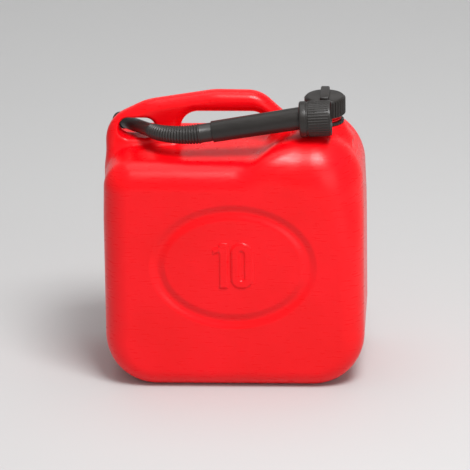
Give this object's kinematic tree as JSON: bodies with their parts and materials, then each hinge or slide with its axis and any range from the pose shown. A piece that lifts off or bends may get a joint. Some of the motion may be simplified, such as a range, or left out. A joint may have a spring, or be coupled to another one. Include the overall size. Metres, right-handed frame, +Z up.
{
  "type": "plastic fuel can with pouring spout",
  "caption": "Upright blow-moulded fuel can with a carry handle, a capped neck and a flexible pouring spout stored through the handle",
  "frame": {"origin": "middle of the flat base on the ground, under the body's middle", "axes": "+Z up; +X along the body's width towards the neck; -Y is the broad face in front of which the spout is stored"},
  "size_m": [0.278, 0.1662, 0.3156],
  "materials": {
    "red_polyethylene": "satin",
    "black_polyethylene": "satin",
    "black_rubber": "matte",
    "pale_foam": "matte"
  },
  "bodies": {
    "can": {"can_body": "red_polyethylene"},
    "ring": {"tamper_ring": "black_polyethylene"},
    "cap_threaded": {"cap_inner": "black_polyethylene", "cap_seal": "pale_foam"},
    "cap_shell": {"cap_outer": "black_polyethylene"},
    "spout_front": {"spout_nozzle": "black_polyethylene", "spout_hose": "black_polyethylene"},
    "spout_back": {"spout_tube": "black_polyethylene", "spout_gasket": "black_rubber"},
    "nut": {"spout_nut": "black_polyethylene"},
    "stopper": {"nozzle_stopper": "black_polyethylene"}
  },
  "joints": [
    {"name": "tamper_ring_turn", "type": "hinge", "parent": "can", "child": "ring", "pos_m": [0.0963, 0, 0.2779], "axis": [0, 0, 1], "continuous": true},
    {"name": "cap_lift", "type": "slide", "parent": "can", "child": "cap_threaded", "axis": [0, 0, 1], "range_m": [0, 0.05]},
    {"name": "cap_turn", "type": "hinge", "parent": "cap_threaded", "child": "cap_shell", "pos_m": [0.0963, 0, 0.2939], "axis": [0, 0, 1], "continuous": true},
    {"name": "spout_pull", "type": "slide", "parent": "can", "child": "spout_front", "axis": [0.5704, -0.8147, 0.1045], "range_m": [0, 0.075]},
    {"name": "spout_flex", "type": "hinge", "parent": "spout_front", "child": "spout_back", "pos_m": [-0.0624, -0.04, 0.2753], "axis": [0, 0, -1], "range_deg": [0, 80], "deforming": ["spout_hose"]},
    {"name": "nut_turn", "type": "hinge", "parent": "spout_back", "child": "nut", "pos_m": [0.0708, -0.0465, 0.29463], "axis": [0.9984, 0, 0.0558], "continuous": true},
    {"name": "stopper_pull", "type": "slide", "parent": "spout_front", "child": "stopper", "axis": [-0.5704, 0.8147, -0.1045], "range_m": [0, 0.03]}
  ]
}
